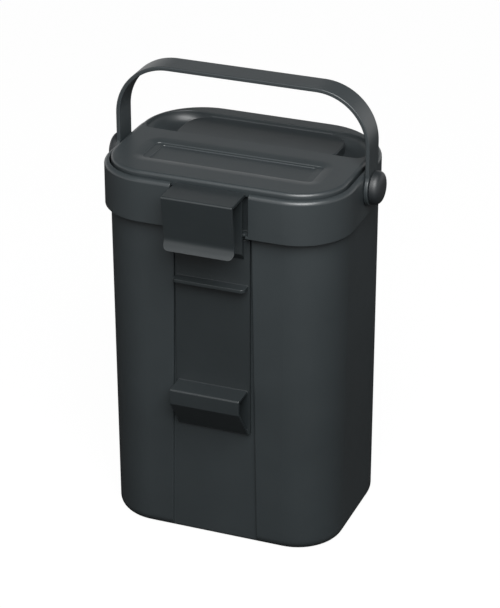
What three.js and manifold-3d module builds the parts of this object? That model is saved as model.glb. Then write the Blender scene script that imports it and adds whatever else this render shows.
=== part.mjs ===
// A kitchen compost bin that stands on a worktop or hangs from a cabinet door: a tapered bucket, a collar
// that holds the liner, a lid with a sunken grip, a bail handle on two pivot pins, and a hanging bracket.
// Millimetres, +Z up. The underside is z = 0, the front is -Y, and the handle's pivots lie above y = 0.
import * as THREE from "three";
import { mergeVertices } from "three/addons/utils/BufferGeometryUtils.js";
import Module from "manifold-3d";

const wasm = await Module();
wasm.setup();

// Gap between pieces that rest on each other, the reach of a cutting body past what it cuts, and the
// smallest corner radius that an inset outline keeps.
const fitGap = 0.3;
const overrun = 2;
const leastRadius = 0.4;

// Bucket. Depths are measured from the pivot plane y = 0 to the front and to the rear.
const bucket = {
  halfWidth: 95.7,
  frontDepth: 68.7,
  rearDepth: 75,
  frontRadius: 38,
  rearRadius: 48,
  height: 266.4,
  sideDraft: 1.9,
  frontDraft: 0.3,
  rearDraft: 1.5,
  rearCornerTaper: 6,
  bottomFillet: 8.3,
  wall: 2.4,
  floor: 2.6,
};

// Channel in the bucket's front wall, which the bracket slides in. It widens towards the bottom, and a bridge
// of wall above it hangs on the bracket's plate.
const channel = { topHalfWidth: 31, bottomHalfWidth: 35.4, depth: 2.7, bridge: 3 };

// Collar: a trough ring on the bucket's edge, with an outer band, a shelf, an inner wall that the lid rests
// on, and a spigot inside the bucket that clamps the liner.
const collar = {
  sideOverhang: 3.5,
  frontOverhang: 7.2,
  rearOverhang: 0.9,
  frontCornerGrowth: 5,
  rearCornerGrowth: 7,
  height: 34,
  band: 2.4,
  shelf: 2,
  wall: 1.8,
  seatDrop: 3,
  spigotDepth: 20,
  rearPlay: 2,
  edgeRound: 1.2,
};

// Lid: a plate inside the collar's band, a skirt inside its inner wall, a slot-shaped recess in front, and a
// well behind it. The well is a bowl whose walls curve down over a run of their own at the sides and at the
// front and rear, and a raised grip grows out of its rear wall.
const lid = { inset: 5, plate: 7.8, edgeRound: 2.5, shell: 2.4, skirtDepth: 7, skirtGap: 0.5 };
const recess = {
  halfLength: 68.3,
  front: 42.2,
  rear: 11.7,
  depth: 2.6,
  cornerRadius: 4,
  slopeRun: 1.6,
  endRun: 5.5,
};
const well = {
  halfWidth: 91,
  front: 10.5,
  rear: 57,
  depth: 9.8,
  frontRadius: 9,
  rearRadius: 32,
  sideRun: 13,
  endRun: 6,
};
const grip = {
  halfWidth: 66.3,
  frontGap: 3,
  intoWall: 0.6,
  frontRadius: 10,
  rearRadius: 21,
  belowPlate: 3.4,
  slopeRun: 0.8,
};

// Handle: a flat strip bent into a bail, with a round ear at each foot.
const handle = {
  thickness: 3.2,
  width: 20.9,
  rise: 77,
  bendRadius: 41,
  earRadius: 14.5,
  pivotBelowRim: 11.2,
  holeRadius: 4.3,
};

// Pivot pins: a domed head outside the ear, a shank through the ear and the collar's band, and a barb inside.
const pin = {
  headHeight: 8,
  baseRadius: 13.6,
  crownRadius: 9.6,
  crownRound: 1.6,
  barb: 1.1,
  barbLength: 1.4,
};

// Hanging bracket: a plate in the channel, an arm up through the collar's cut-out, a hood that hooks over a
// door, a thin rib and a wedge that holds the bin off the door.
const bracket = {
  plateHalfWidth: 30.2,
  plate: 3.2,
  plateBottom: 98.5,
  armHalfWidth: 26,
  arm: 2.7,
  armGap: 1.5,
  armFootDrop: 10,
  armFootSlope: 6,
  hoodHalfWidth: 28.5,
  hoodReach: 22.2,
  hoodWall: 2.7,
  hoodBend: 1.8,
  lipStartDrop: 35.5,
  lipDrop: 8.2,
  lipFlare: 3.2,
  lipCorner: 4,
  slotGap: 0.5,
  cutOutHalfWidth: 31.2,
};
const rib = { halfWidth: 29, top: 225.4, thickness: 2.8, reach: 9, cornerRadius: 3 };
const wedge = { halfWidth: 28.3, top: 136, lip: 12.5, reach: 18.5, wall: 2.4, edgeRound: 1.5 };

// How finely round stretches are stepped.
const cornerSteps = 10;
const filletSteps = 4;
const bowlSteps = 6;
const bendSteps = 12;
const circleSteps = 40;

// Heights and depths that follow from the sizes above.
const collarBottom = bucket.height + fitGap;
const rimTop = collarBottom + collar.height;
const lidSeat = rimTop - collar.seatDrop;
const lidUnderside = lidSeat + fitGap;
const lidTop = lidUnderside + lid.plate;
const pivotHeight = rimTop - handle.pivotBelowRim;
const channelTop = bucket.height - channel.bridge;
const channelFloor = bucket.frontDepth - channel.depth;

// Satin dark grey plastic, with the handle a little glossier than the mouldings.
const satinGrey = { color: 0x3b4144, roughness: 0.5, metalness: 0 };
const handleGrey = { color: 0x3d4346, roughness: 0.45, metalness: 0 };

// An outline seen from above: front and rear are distances from y = 0 towards -Y and +Y.
function plan(halfWidth, front, rear, frontRadius, rearRadius) {
  return { halfWidth, front, rear, frontRadius, rearRadius };
}

function insetPlan(outline, amount) {
  return plan(
    outline.halfWidth - amount,
    outline.front - amount,
    outline.rear - amount,
    Math.max(outline.frontRadius - amount, leastRadius),
    Math.max(outline.rearRadius - amount, leastRadius),
  );
}

// Points of a rounded rectangle, anticlockwise from the right-hand front corner, always the same count.
function planPoints(outline) {
  const widest = Math.min(outline.halfWidth, (outline.front + outline.rear) / 2);
  const frontRadius = Math.min(outline.frontRadius, widest);
  const rearRadius = Math.min(outline.rearRadius, widest);
  const corners = [
    { x: outline.halfWidth - frontRadius, y: frontRadius - outline.front, radius: frontRadius, from: -0.5 },
    { x: outline.halfWidth - rearRadius, y: outline.rear - rearRadius, radius: rearRadius, from: 0 },
    { x: rearRadius - outline.halfWidth, y: outline.rear - rearRadius, radius: rearRadius, from: 0.5 },
    { x: frontRadius - outline.halfWidth, y: frontRadius - outline.front, radius: frontRadius, from: 1 },
  ];
  return corners.flatMap((corner) =>
    Array.from({ length: cornerSteps + 1 }, (_, step) => {
      const angle = Math.PI * (corner.from + (0.5 * step) / cornerSteps);
      return [corner.x + corner.radius * Math.cos(angle), corner.y + corner.radius * Math.sin(angle)];
    }),
  );
}

// A closed body through outlines stacked upwards, each { outline, z }.
function loft(levels) {
  const rings = levels.map((level) => planPoints(level.outline));
  const count = rings[0].length;
  const positions = rings.flatMap((ring, level) => ring.flatMap(([x, y]) => [x, y, levels[level].z]));
  const faces = [];
  for (let level = 0; level + 1 < rings.length; level++) {
    for (let i = 0; i < count; i++) {
      const a = level * count + i;
      const b = level * count + ((i + 1) % count);
      faces.push(a, b, b + count, a, b + count, a + count);
    }
  }
  const last = (rings.length - 1) * count;
  for (let i = 1; i + 1 < count; i++) {
    faces.push(0, i + 1, i, last, last + i, last + i + 1);
  }
  const geometry = new THREE.BufferGeometry();
  geometry.setAttribute("position", new THREE.Float32BufferAttribute(positions, 3));
  geometry.setIndex(faces);
  return solid(geometry);
}

// A closed geometry as a solid that can be joined and cut.
function solid(geometry) {
  const bare = geometry.clone();
  bare.deleteAttribute("normal");
  bare.deleteAttribute("uv");
  const merged = mergeVertices(bare);
  const vertProperties = new Float32Array(merged.attributes.position.array);
  const triVerts = new Uint32Array(merged.index.array);
  return new wasm.Manifold(new wasm.Mesh({ numProp: 3, vertProperties, triVerts }));
}

// A named mesh from a solid, with its own material.
function piece(name, body, look) {
  const { numProp, vertProperties, triVerts } = body.getMesh();
  const positions = new Float32Array((vertProperties.length / numProp) * 3);
  for (let i = 0; i * numProp < vertProperties.length; i++) {
    positions.set(vertProperties.subarray(i * numProp, i * numProp + 3), i * 3);
  }
  const geometry = new THREE.BufferGeometry();
  geometry.setAttribute("position", new THREE.BufferAttribute(positions, 3));
  geometry.setIndex(new THREE.BufferAttribute(new Uint32Array(triVerts), 1));
  geometry.computeVertexNormals();
  const mesh = new THREE.Mesh(geometry, new THREE.MeshStandardMaterial(look));
  mesh.name = name;
  return mesh;
}

function block(xLow, xHigh, yLow, yHigh, zLow, zHigh) {
  const geometry = new THREE.BoxGeometry(xHigh - xLow, yHigh - yLow, zHigh - zLow);
  geometry.translate((xLow + xHigh) / 2, (yLow + yHigh) / 2, (zLow + zHigh) / 2);
  return solid(geometry);
}

// A side view in (y, z) stretched over the given half-width along X.
function acrossX(shape, halfWidth) {
  const geometry = new THREE.ExtrudeGeometry(shape, { depth: 2 * halfWidth, bevelEnabled: false });
  geometry.translate(0, 0, -halfWidth);
  const turn = new THREE.Matrix4().makeBasis(
    new THREE.Vector3(0, 1, 0),
    new THREE.Vector3(0, 0, 1),
    new THREE.Vector3(1, 0, 0),
  );
  return solid(geometry.applyMatrix4(turn));
}

// A front view in (x, z) stretched along Y from yLow to yHigh.
function alongY(shape, yLow, yHigh) {
  const options = { depth: yHigh - yLow, bevelEnabled: false, curveSegments: bendSteps };
  const geometry = new THREE.ExtrudeGeometry(shape, options);
  const turn = new THREE.Matrix4().makeBasis(
    new THREE.Vector3(1, 0, 0),
    new THREE.Vector3(0, 0, 1),
    new THREE.Vector3(0, -1, 0),
  );
  return solid(geometry.applyMatrix4(turn).translate(0, yHigh, 0));
}

// A round body about the pivot line, from a profile of [radius, x] pairs. side is 1 or -1.
function aboutPivot(profile, side) {
  const points = profile.map(([radius, x]) => new THREE.Vector2(radius, x));
  const geometry = new THREE.LatheGeometry(points, circleSteps);
  geometry.rotateZ(-side * (Math.PI / 2));
  geometry.translate(0, 0, pivotHeight);
  return solid(geometry);
}

// The bucket's outer outline at a height, drawn in by an amount.
function bucketPlan(z, amount) {
  const below = 1 - z / bucket.height;
  const outline = plan(
    bucket.halfWidth - bucket.sideDraft * below,
    bucket.frontDepth - bucket.frontDraft * below,
    bucket.rearDepth - bucket.rearDraft * below,
    bucket.frontRadius,
    bucket.rearRadius - bucket.rearCornerTaper * below,
  );
  return insetPlan(outline, amount);
}

// A tapered body that follows the bucket's wall from low to high, with a rounded lower edge.
function bucketBody(inset, low, high, fillet) {
  const levels = [];
  for (let step = 0; step <= filletSteps; step++) {
    const angle = (Math.PI / 2) * (step / filletSteps);
    const z = low + fillet * (1 - Math.cos(angle));
    levels.push({ outline: bucketPlan(z, inset + fillet * (1 - Math.sin(angle))), z });
  }
  levels.push({ outline: bucketPlan(high, inset), z: high });
  return loft(levels);
}

function channelShape(extraWidth) {
  const shape = new THREE.Shape();
  shape.moveTo(-channel.bottomHalfWidth - extraWidth, -overrun);
  shape.lineTo(channel.bottomHalfWidth + extraWidth, -overrun);
  shape.lineTo(channel.topHalfWidth + extraWidth, channelTop + extraWidth);
  shape.lineTo(-channel.topHalfWidth - extraWidth, channelTop + extraWidth);
  shape.closePath();
  return shape;
}

// The bucket's wall steps inwards behind the channel, so that it keeps its thickness there.
function makeBucket() {
  const outer = bucketBody(0, 0, bucket.height, bucket.bottomFillet);
  const innerFillet = bucket.bottomFillet - bucket.wall;
  const inner = bucketBody(bucket.wall, bucket.floor, bucket.height + overrun, innerFillet);
  const backing = alongY(channelShape(bucket.wall), -bucket.frontDepth, -(channelFloor - bucket.wall));
  const cut = alongY(channelShape(0), -(bucket.frontDepth + overrun), -channelFloor);
  return outer.subtract(inner.subtract(backing)).subtract(cut);
}

function collarPlan(amount) {
  const outline = plan(
    bucket.halfWidth + collar.sideOverhang,
    bucket.frontDepth + collar.frontOverhang,
    bucket.rearDepth + collar.rearOverhang,
    bucket.frontRadius + collar.frontCornerGrowth,
    bucket.rearRadius + collar.rearCornerGrowth,
  );
  return insetPlan(outline, amount);
}

// The rear faces of the bracket's arm and of its slot in the collar's shelf, in front of the lid's edge.
const armRear = collarPlan(lid.inset).front + bracket.armGap;
const slotRear = armRear - fitGap;

// Levels of an outline with a rounded upper edge, from z up to the top.
function roundedTop(outlineAt, z, top, round) {
  const levels = [{ outline: outlineAt(0), z }];
  for (let step = 0; step <= filletSteps; step++) {
    const angle = (Math.PI / 2) * (step / filletSteps);
    const outline = outlineAt(round * (1 - Math.cos(angle)));
    levels.push({ outline, z: top - round * (1 - Math.sin(angle)) });
  }
  return levels;
}

function pivotHole(side) {
  const reach = bucket.halfWidth + collar.sideOverhang + overrun;
  const start = bucket.halfWidth;
  return aboutPivot([[0, start], [handle.holeRadius, start], [handle.holeRadius, reach], [0, reach]], side);
}

// The outer outline of the inner wall and its spigot, which fits inside the bucket's mouth.
function spigotPlan(amount) {
  const inside = bucketPlan(bucket.height - collar.spigotDepth, bucket.wall + fitGap);
  inside.rear -= collar.rearPlay;
  return insetPlan(inside, amount);
}

function upright(outline, low, high) {
  return loft([
    { outline, z: low },
    { outline, z: high },
  ]);
}

function makeCollar() {
  const shell = loft(roundedTop(collarPlan, collarBottom, rimTop, collar.edgeRound));
  const trough = upright(collarPlan(collar.band), collarBottom + collar.shelf, rimTop + overrun);
  const spigotBottom = bucket.height - collar.spigotDepth;
  const innerWall = upright(spigotPlan(0), spigotBottom, lidSeat);
  const mouth = upright(spigotPlan(collar.wall), spigotBottom - overrun, rimTop + overrun);
  const front = collarPlan(0).front + overrun;
  const bandInside = collarPlan(collar.band).front;
  const gate = bracket.cutOutHalfWidth;
  const cutOut = block(-gate, gate, -front, -bandInside, collarBottom + collar.shelf, rimTop + overrun);
  const slot = bracket.hoodHalfWidth + bracket.slotGap;
  const shelfSlot = block(-slot, slot, -front, -slotRear, collarBottom - overrun, rimTop + overrun);
  const notch = channel.bottomHalfWidth + bucket.wall + fitGap;
  const notchRear = spigotPlan(collar.wall).front - overrun;
  const backingClearance = block(-notch, notch, -front, -notchRear, spigotBottom - overrun, collarBottom);
  return shell
    .subtract(trough)
    .add(innerWall)
    .subtract(mouth)
    .subtract(cutOut)
    .subtract(shelfSlot)
    .subtract(backingClearance)
    .subtract(pivotHole(1))
    .subtract(pivotHole(-1));
}

// The lid's skirt follows the collar's inner wall with a small gap.
function skirtPlan(amount) {
  return spigotPlan(collar.wall + lid.skirtGap + amount);
}

// The well's outline, drawn in at its sides and at its front and rear.
function wellPlan(sideInset, endInset) {
  return plan(
    well.halfWidth - sideInset,
    -(well.front + endInset),
    well.rear - endInset,
    Math.max(well.frontRadius - endInset, leastRadius),
    well.rearRadius - endInset,
  );
}

// The well's bowl from its floor up, grown outwards by an amount. Its walls are a quarter of an ellipse.
function wellLevels(growth) {
  const levels = [];
  for (let step = bowlSteps; step >= 0; step--) {
    const angle = (Math.PI / 2) * (step / bowlSteps);
    const sideInset = well.sideRun - (well.sideRun + growth) * Math.cos(angle);
    const endInset = well.endRun - (well.endRun + growth) * Math.cos(angle);
    const z = lidTop - (well.depth + growth) * Math.sin(angle);
    levels.push({ outline: wellPlan(sideInset, endInset), z });
  }
  return levels;
}

function gripPlan(amount) {
  const front = well.front + grip.frontGap;
  const rear = well.rear + grip.intoWall;
  return insetPlan(plan(grip.halfWidth, -front, rear, grip.frontRadius, grip.rearRadius), amount);
}

function recessPlan(lengthInset, widthInset) {
  return plan(
    recess.halfLength - lengthInset,
    recess.front - widthInset,
    -(recess.rear + widthInset),
    recess.cornerRadius - widthInset,
    recess.cornerRadius - widthInset,
  );
}

function makeLid() {
  const platePlan = (amount) => collarPlan(lid.inset + amount);
  const plate = loft(roundedTop(platePlan, lidUnderside, lidTop, lid.edgeRound));
  const skirtBottom = lidUnderside - lid.skirtDepth;
  const skirt = upright(skirtPlan(0), skirtBottom, lidUnderside + lid.plate / 2);
  const recessFloor = lidTop - recess.depth;
  const gripBottom = lidTop - well.depth - lid.shell;
  const gripTop = lidTop - grip.belowPlate;
  const hollow = upright(skirtPlan(lid.shell), skirtBottom - overrun, lidTop - lid.shell);
  const wellBlock = loft(wellLevels(lid.shell));
  const recessBlock = upright(recessPlan(-lid.shell, -lid.shell), recessFloor - lid.shell, lidTop);
  const wellCut = loft([...wellLevels(0), { outline: wellPlan(0, 0), z: lidTop + overrun }]);
  const recessCut = loft([
    { outline: recessPlan(recess.endRun, recess.slopeRun), z: recessFloor },
    { outline: recessPlan(0, 0), z: lidTop },
    { outline: recessPlan(0, 0), z: lidTop + overrun },
  ]);
  const gripBody = loft([
    { outline: gripPlan(0), z: gripBottom },
    { outline: gripPlan(grip.slopeRun), z: gripTop },
  ]);
  const gripHollow = loft([
    { outline: gripPlan(lid.shell), z: gripBottom - overrun },
    { outline: gripPlan(lid.shell + grip.slopeRun), z: gripTop - lid.shell },
  ]);
  return plate
    .add(skirt)
    .subtract(hollow.subtract(wellBlock).subtract(recessBlock))
    .subtract(wellCut)
    .subtract(recessCut)
    .add(gripBody)
    .subtract(gripHollow);
}

const legInner = bucket.halfWidth + collar.sideOverhang + fitGap;
const legOuter = legInner + handle.thickness;

// The bail's front view: up the right leg, round the bend, across the top and down the left leg, then back
// along the inner face.
function bailShape() {
  const outerCentreX = legOuter - handle.bendRadius;
  const top = pivotHeight + handle.rise;
  const outerCentreZ = top - handle.bendRadius;
  const innerRadius = handle.bendRadius - handle.thickness;
  const shape = new THREE.Shape();
  shape.moveTo(legOuter, pivotHeight);
  shape.absarc(outerCentreX, outerCentreZ, handle.bendRadius, 0, Math.PI / 2, false);
  shape.absarc(-outerCentreX, outerCentreZ, handle.bendRadius, Math.PI / 2, Math.PI, false);
  shape.lineTo(-legOuter, pivotHeight);
  shape.lineTo(-legInner, pivotHeight);
  shape.absarc(-outerCentreX, outerCentreZ, innerRadius, Math.PI, Math.PI / 2, true);
  shape.absarc(outerCentreX, outerCentreZ, innerRadius, Math.PI / 2, 0, true);
  shape.lineTo(legInner, pivotHeight);
  shape.closePath();
  return shape;
}

function makeHandle() {
  let body = alongY(bailShape(), -handle.width / 2, handle.width / 2);
  for (const side of [-1, 1]) {
    const disc = [[0, legInner], [handle.earRadius, legInner], [handle.earRadius, legOuter], [0, legOuter]];
    body = body.add(aboutPivot(disc, side));
  }
  for (const side of [-1, 1]) {
    const low = legInner - overrun;
    const high = legOuter + overrun;
    const hole = [[0, low], [handle.holeRadius, low], [handle.holeRadius, high], [0, high]];
    body = body.subtract(aboutPivot(hole, side));
  }
  return body;
}

function makePin(side) {
  const shank = handle.holeRadius - fitGap;
  const barb = shank + pin.barb;
  const barbStart = bucket.halfWidth + collar.sideOverhang - collar.band - fitGap;
  const barbEnd = barbStart - pin.barbLength;
  const base = legOuter + fitGap;
  const top = base + pin.headHeight;
  const tip = [[0, barbEnd], [shank, barbEnd], [barb, barbStart], [shank, barbStart]];
  const profile = [...tip, [shank, base], [pin.baseRadius, base]];
  for (let step = 0; step <= filletSteps; step++) {
    const angle = (Math.PI / 2) * (step / filletSteps);
    const radius = pin.crownRadius + (pin.crownRound * Math.cos(angle));
    profile.push([radius, top - pin.crownRound * (1 - Math.sin(angle))]);
  }
  profile.push([0, top]);
  return aboutPivot(profile, side);
}

const plateRear = channelFloor + fitGap;
const plateFront = plateRear + bracket.plate;
const plateTop = channelTop - fitGap;
const armFront = armRear + bracket.arm;
const hoodFront = armFront + bracket.hoodReach + bracket.hoodWall;

// Side view of the arm, from the plate's top end up to the hood.
function armShape() {
  const foot = plateTop - bracket.armFootDrop;
  const shape = new THREE.Shape();
  shape.moveTo(-plateRear, plateTop);
  shape.lineTo(-plateRear, foot - bracket.armFootSlope);
  shape.lineTo(-plateFront, foot - bracket.armFootSlope);
  shape.lineTo(-armFront, foot);
  shape.lineTo(-armFront, rimTop);
  shape.lineTo(-armRear, rimTop);
  shape.lineTo(-armRear, plateTop);
  shape.closePath();
  return shape;
}

// Side view of the hood: its top, its front and the lip that flares outwards.
function hoodShape() {
  const wall = bracket.hoodWall;
  const lipStart = rimTop - bracket.lipStartDrop;
  const lipEnd = lipStart - bracket.lipDrop;
  const inner = hoodFront - wall;
  const shape = new THREE.Shape();
  const bend = bracket.hoodBend;
  shape.moveTo(-armRear, rimTop);
  shape.lineTo(bend - hoodFront, rimTop);
  shape.absarc(bend - hoodFront, rimTop - bend, bend, Math.PI / 2, Math.PI);
  shape.lineTo(-hoodFront, lipStart);
  shape.quadraticCurveTo(-hoodFront, lipStart - bracket.lipDrop / 2, -hoodFront - bracket.lipFlare, lipEnd);
  shape.lineTo(-inner - bracket.lipFlare, lipEnd);
  shape.quadraticCurveTo(-inner, lipStart - bracket.lipDrop / 2, -inner, lipStart);
  shape.lineTo(-inner, rimTop - wall);
  shape.lineTo(-armRear, rimTop - wall);
  shape.closePath();
  return shape;
}

// Front view of the hood, with its lower corners rounded.
function hoodFrontView() {
  const low = rimTop - bracket.lipStartDrop - bracket.lipDrop;
  const width = bracket.hoodHalfWidth;
  const corner = bracket.lipCorner;
  const shape = new THREE.Shape();
  shape.moveTo(width, rimTop + overrun);
  shape.lineTo(-width, rimTop + overrun);
  shape.absarc(corner - width, low + corner, corner, Math.PI, 1.5 * Math.PI);
  shape.absarc(width - corner, low + corner, corner, 1.5 * Math.PI, 2 * Math.PI);
  shape.closePath();
  return shape;
}

function makeRib() {
  const front = plateFront + rib.reach;
  const outline = plan(rib.halfWidth, front, -plateRear, rib.cornerRadius, leastRadius);
  return upright(outline, rib.top - rib.thickness, rib.top);
}

// The wedge's side view: a flat top, a short upright front and a long slope back to the plate's lower end.
function wedgeShape() {
  const front = plateFront + wedge.reach;
  const round = wedge.edgeRound;
  const shape = new THREE.Shape();
  shape.moveTo(-plateRear, wedge.top);
  shape.lineTo(round - front, wedge.top);
  shape.absarc(round - front, wedge.top - round, round, Math.PI / 2, Math.PI);
  shape.lineTo(-front, wedge.top - wedge.lip);
  shape.lineTo(-plateFront, bracket.plateBottom);
  shape.lineTo(-plateRear, bracket.plateBottom);
  shape.closePath();
  return shape;
}

// The wedge is a bent sheet that is open at both ends: this is the space inside it.
function wedgeHollow() {
  const front = plateFront + wedge.reach - wedge.wall;
  const rise = wedge.top - wedge.lip - bracket.plateBottom;
  const steepness = rise / wedge.reach;
  const slopeLift = (wedge.wall * Math.hypot(wedge.reach, rise)) / wedge.reach;
  const rearLow = bracket.plateBottom + slopeLift;
  const shape = new THREE.Shape();
  shape.moveTo(-plateFront, wedge.top - wedge.wall);
  shape.lineTo(-front, wedge.top - wedge.wall);
  shape.lineTo(-front, rearLow + (wedge.reach - wedge.wall) * steepness);
  shape.lineTo(-plateFront, rearLow);
  shape.closePath();
  return shape;
}

function makeBracket() {
  const width = bracket.plateHalfWidth;
  const plate = block(-width, width, -plateFront, -plateRear, bracket.plateBottom, plateTop);
  const frontView = alongY(hoodFrontView(), -(hoodFront + bracket.lipFlare + overrun), -armRear + overrun);
  const hood = acrossX(hoodShape(), bracket.hoodHalfWidth).intersect(frontView);
  return plate
    .add(acrossX(armShape(), bracket.armHalfWidth))
    .add(hood)
    .add(makeRib())
    .add(acrossX(wedgeShape(), wedge.halfWidth))
    .subtract(acrossX(wedgeHollow(), wedge.halfWidth + overrun));
}

const bin = new THREE.Group();
bin.add(piece("bucket", makeBucket(), satinGrey));
bin.add(piece("collar", makeCollar(), satinGrey));
bin.add(piece("lid", makeLid(), satinGrey));
bin.add(piece("handle", makeHandle(), handleGrey));
bin.add(piece("left_pivot_pin", makePin(-1), satinGrey));
bin.add(piece("right_pivot_pin", makePin(1), satinGrey));
bin.add(piece("hanging_bracket", makeBracket(), satinGrey));

export default bin;
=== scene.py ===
import math

import bmesh
import bpy
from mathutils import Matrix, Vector
from mathutils.geometry import tessellate_polygon


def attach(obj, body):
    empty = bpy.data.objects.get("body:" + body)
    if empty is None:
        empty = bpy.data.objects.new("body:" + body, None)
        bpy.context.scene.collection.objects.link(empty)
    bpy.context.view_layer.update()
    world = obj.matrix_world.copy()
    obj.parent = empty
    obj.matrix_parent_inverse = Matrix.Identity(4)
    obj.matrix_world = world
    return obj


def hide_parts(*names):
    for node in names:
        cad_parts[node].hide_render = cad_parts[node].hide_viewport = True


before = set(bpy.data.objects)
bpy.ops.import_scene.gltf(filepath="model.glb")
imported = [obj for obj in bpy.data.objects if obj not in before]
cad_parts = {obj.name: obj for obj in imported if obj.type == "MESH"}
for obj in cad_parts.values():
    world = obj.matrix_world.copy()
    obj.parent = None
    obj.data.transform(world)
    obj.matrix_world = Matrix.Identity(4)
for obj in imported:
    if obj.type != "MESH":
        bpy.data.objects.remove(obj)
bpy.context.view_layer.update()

MM = 0.001

# Outlines seen from above: half width, distance from y = 0 to the front and to the rear, corner radii.
BUCKET = {"half": 95.7, "front": 68.7, "rear": 75.0, "front_radius": 38.0, "rear_radius": 48.0}
COLLAR = {"half": 99.2, "front": 75.9, "rear": 75.9, "front_radius": 43.0, "rear_radius": 55.0}
WELL = {"half": 91.0, "front": -10.5, "rear": 57.0, "front_radius": 9.0, "rear_radius": 32.0}
GRIP = {"half": 66.3, "front": -13.5, "rear": 57.6, "front_radius": 10.0, "rear_radius": 21.0}
RECESS = {"half": 68.3, "front": 42.2, "rear": -11.7, "front_radius": 4.0, "rear_radius": 4.0}

# Bucket: how much each face draws in over its height, its thicknesses and its channel.
BUCKET_HEIGHT = 266.4
SIDE_DRAFT = 1.9
FRONT_DRAFT = 0.3
REAR_DRAFT = 1.5
REAR_CORNER_TAPER = 6.0
BOTTOM_FILLET = 8.3
WALL = 2.4
BUCKET_FLOOR = 2.6
RIM_ROUND = 0.6
CHANNEL_TOP = 263.4
CHANNEL_TOP_HALF = 31.0
CHANNEL_BOTTOM_HALF = 35.4
CHANNEL_FLOOR_Y = -66.0
CHANNEL_DEPTH = BUCKET["front"] + CHANNEL_FLOOR_Y
CHANNEL_EDGE = 0.9
CHANNEL_CORNER = 0.7
CHANNEL_SLOPE = 0.15
OUTSIDE_LEVELS = (10, 50, 90, 130, 170, 210, 250)
INSIDE_LEVELS = (250, 170, 90)

# Where the channel runs out at its top end, with the share of its depth that is left there: outside as
# distances below the channel's top, inside as heights.
OUTSIDE_RUN_OUT = ((1.2, 1.0), (0.95, 0.93), (0.65, 0.7), (0.4, 0.38), (0.2, 0.1), (0.0, 0.0))
INSIDE_RUN_OUT = ((265.5, 0.0), (265.1, 0.3), (264.7, 0.7), (264.3, 1.0))

# Collar.
COLLAR_BOTTOM = 266.7
RIM_TOP = 301.9
COLLAR_BAND = 2.4
COLLAR_SHELF_TOP = 268.7
COLLAR_EDGE = 3.2
COLLAR_INNER_EDGE = 0.6
COLLAR_ROUND = 0.5
RIM_LIP = 4.1
RIM_LIP_HEIGHT = 2.0
SPIGOT_BOTTOM = 246.4
SPIGOT_GAP = 0.3
SPIGOT_REAR_PLAY = 2.0
INNER_WALL = 1.8
LID_SEAT = 297.7
CUT_OUT_HALF = 31.2
CUT_OUT_PLAY = 0.1
SLOT_HALF = 29.0
SLOT_REAR_Y = -72.1
NOTCH_HALF = 38.1
NOTCH_REAR_Y = -62.2
NOTCH_PLAY = 0.01

# Lid.
LID_INSET = 5.2
LID_END_INSET = 6.0
LID_UNDERSIDE = 298.0
LID_TOP = 305.8
LID_EDGE = 2.5
LID_FLAT_START = 0.15
LID_SHELL = 2.4
SKIRT_GAP = 0.5
SKIRT_BOTTOM = 291.0
RECESS_DEPTH = 2.6
RECESS_SLOPE = 1.6
RECESS_END_RUN = 5.5
RECESS_EDGE = 0.8
RECESS_ROLL = 0.75
RECESS_ROLL_RUN = 8.5
WELL_DEPTH = 9.8
WELL_SIDE_RUN = 13.0
WELL_END_RUN = 6.0
WELL_LIP = 0.25
WELL_EDGE = 0.6
GRIP_TOP = 302.4
GRIP_SLOPE = 0.8
GRIP_EDGE = 1.3

# The hollow round behind the grip: its radius and half width, how deep it goes into the well's wall, the foot
# ahead of it, how far that foot lies under the grip's top, and its reach past the well's rear.
COVE_RADIUS = 1.1
COVE_HALF = 50.3
COVE_BITE = 0.15
COVE_FOOT = 0.4
COVE_SINK = 0.003
COVE_REACH = 0.5

# Handle and pins. The fullness is the power of the sine and cosine in the pin's dome: under 1 it is fuller
# than an ellipse.
PIVOT_Z = 289.5
LEG_INNER = 99.5
HANDLE_THICKNESS = 3.2
HANDLE_HALF_WIDTH = 11.0
HANDLE_TOP = 366.5
HANDLE_BEND = 43.0
EAR_RADIUS = 14.5
EAR_FILLET = 8.0
HANDLE_EDGE = 0.8
HOLE_RADIUS = 4.3
HOLE_START_X = 96.2
SHANK_RADIUS = 4.0
BARB_RADIUS = 5.1
BARB_START = 96.5
BARB_LENGTH = 1.4
PIN_BASE_X = 103.0
PIN_TOP_X = 111.0
PIN_BASE_RADIUS = 13.0
PIN_BASE_ROUND = 0.5
PIN_FULLNESS = 0.6

# The handle as a strip: a leg's length, the middle, radius and length of a bend, the length between the
# bends, and the length of the whole.
LEG = HANDLE_TOP - HANDLE_BEND - PIVOT_Z
BEND_X = LEG_INNER + HANDLE_THICKNESS - HANDLE_BEND
BEND_Z = HANDLE_TOP - HANDLE_BEND
BEND_RADIUS = HANDLE_BEND - HANDLE_THICKNESS / 2
BEND_LENGTH = BEND_RADIUS * math.pi / 2
SPAN = 2 * BEND_X
STRIP_LENGTH = 2 * (LEG + BEND_LENGTH) + SPAN

# Hanging bracket. The lip's curve is the power with which its flare grows towards its end.
PLATE_HALF = 30.2
PLATE_REAR_Y = -66.3
PLATE_FRONT_Y = -69.5
PLATE_BOTTOM = 98.5
PLATE_TOP = 263.1
ARM_HALF = 26.0
ARM_REAR_Y = -72.4
ARM_FRONT_Y = -75.1
ARM_FOOT_DROP = 10.0
ARM_FOOT_SLOPE = 6.0
HOOD_HALF = 28.0
HOOD_TOP = RIM_TOP
HOOD_WALL = 2.7
HOOD_FRONT_Y = -100.2
HOOD_LEAN = 4.7
HOOD_BEND = 1.5
LIP_START = 268.0
LIP_END = 258.1
LIP_FLARE = 4.9
LIP_CURVE = 2.2
LIP_CORNER = 4.0
RIB_HALF = 29.0
RIB_TOP = 225.4
RIB_THICKNESS = 2.8
RIB_FRONT_Y = -78.5
RIB_CORNER = 3.0
WEDGE_HALF = 28.3
WEDGE_TOP = 136.0
WEDGE_LIP = 12.5
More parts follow.
